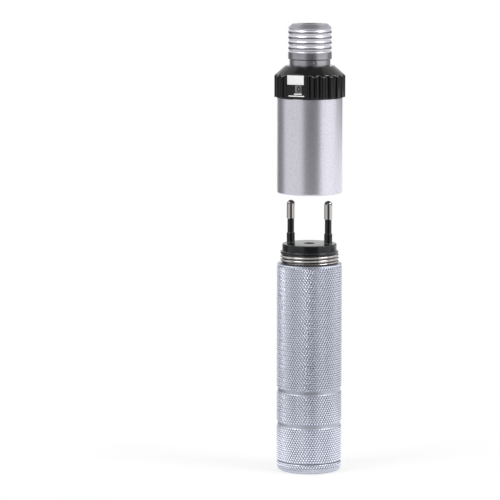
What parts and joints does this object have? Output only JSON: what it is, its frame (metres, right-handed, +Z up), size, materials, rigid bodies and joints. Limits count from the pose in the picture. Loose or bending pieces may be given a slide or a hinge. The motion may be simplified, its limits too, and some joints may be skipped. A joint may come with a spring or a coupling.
{
  "type": "otoscope battery handle",
  "caption": "Upright knurled battery handle of an otoscope, its control section with dimmer ring and ribbed head socket lifted off two mains charging pins.",
  "frame": {"origin": "centre of the end cap's underside, on the handle's axis", "axes": "+Z up the handle's axis towards the head socket; the charging pins lie on the X axis; the dimmer ring's dial faces about -Y"},
  "size_m": [0.0348, 0.0339, 0.2205],
  "materials": {
    "knurled_aluminium": "satin silver, diamond knurled",
    "turned_aluminium": "satin silver, finely turned",
    "polished_neck": "polished silver",
    "nickel_plate": "bright nickel plate",
    "brass_contact": "satin brass",
    "plain_steel": "plain bright steel",
    "ring_plastic": "satin black plastic",
    "pin_plastic": "matt black plastic",
    "slate_plastic": "matt slate-black plastic",
    "white_plastic": "matt white plastic",
    "label_white": "matt white print",
    "dial_grey": "matt light grey print",
    "dial_black": "matt black print",
    "rubber_seal": "matt black rubber",
    "board_laminate": "green laminate",
    "capacitor_case": "dipped red-brown case",
    "resistor_lacquer": "blue lacquer",
    "insulating_card": "pressed insulating board",
    "cell_jacket": "shrink jacket on a metal can"
  },
  "bodies": {
    "handle": {"handle_tube": "knurled_aluminium", "thread_collar": "nickel_plate", "plug_insert": "slate_plastic", "mains_pin_left": "nickel_plate", "mains_pin_right": "nickel_plate", "pin_sleeve_left": "pin_plastic", "pin_sleeve_right": "pin_plastic", "centre_contact": "brass_contact", "insert_screws": "plain_steel", "charger_board": "board_laminate", "dropper_capacitor": "capacitor_case", "rectifier_diodes": "pin_plastic", "bleed_resistor": "resistor_lacquer", "cell_insulator": "insulating_card", "battery_cell_upper": "cell_jacket", "battery_cell_lower": "cell_jacket", "cell_link_strip": "nickel_plate", "battery_liner": "insulating_card", "battery_spring": "plain_steel"},
    "end_cap": {"end_cap": "knurled_aluminium", "end_cap_seal": "rubber_seal", "spring_seat": "brass_contact"},
    "lift_core": {"link_spring": "plain_steel"},
    "control_head": {"upper_sleeve": "turned_aluminium", "switch_core": "turned_aluminium", "coupling_neck": "polished_neck", "neck_set_screw": "plain_steel", "neck_bush": "white_plastic", "rheostat_base": "insulating_card", "resistor_track": "pin_plastic", "track_rivets": "brass_contact", "contact_post": "white_plastic", "post_screws": "plain_steel", "feed_rod": "brass_contact", "plunger_spring": "plain_steel"},
    "dimmer": {"dimmer_ring": "ring_plastic", "label_plate": "label_white", "dial_plate": "dial_grey", "dial_figure": "dial_black", "dial_bars": "label_white", "wiper_arm": "brass_contact", "wiper_rivet": "brass_contact"},
    "head_plunger": {"head_plunger": "brass_contact"},
    "link_contact": {"link_contact": "brass_contact"}
  },
  "joints": [
    {"name": "cap_turn", "type": "hinge", "parent": "handle", "child": "end_cap", "pos_m": [0, 0, 0.0052], "axis": [0, 0, 1], "continuous": true},
    {"name": "sleeve_lift", "type": "slide", "parent": "handle", "child": "lift_core", "axis": [0, 0, 1], "range_m": [-0.0347, 0]},
    {"name": "sleeve_turn", "type": "hinge", "parent": "lift_core", "child": "control_head", "pos_m": [0, 0, 0.1612], "axis": [0, 0, 1], "continuous": true},
    {"name": "dimmer_turn", "type": "hinge", "parent": "control_head", "child": "dimmer", "pos_m": [0, 0, 0.1925], "axis": [0, 0, 1], "range_deg": [0, 120]},
    {"name": "plunger_press", "type": "slide", "parent": "control_head", "child": "head_plunger", "axis": [0, 0, 1], "range_m": [-0.002, 0], "stiffness_N_per_m": 400, "springref_m": 0.002, "deforming": ["plunger_spring"]},
    {"name": "link_press", "type": "slide", "parent": "control_head", "child": "link_contact", "axis": [0, 0, 1], "range_m": [0, 0.0015], "stiffness_N_per_m": 400, "springref_m": -0.002, "deforming": ["link_spring"]}
  ]
}
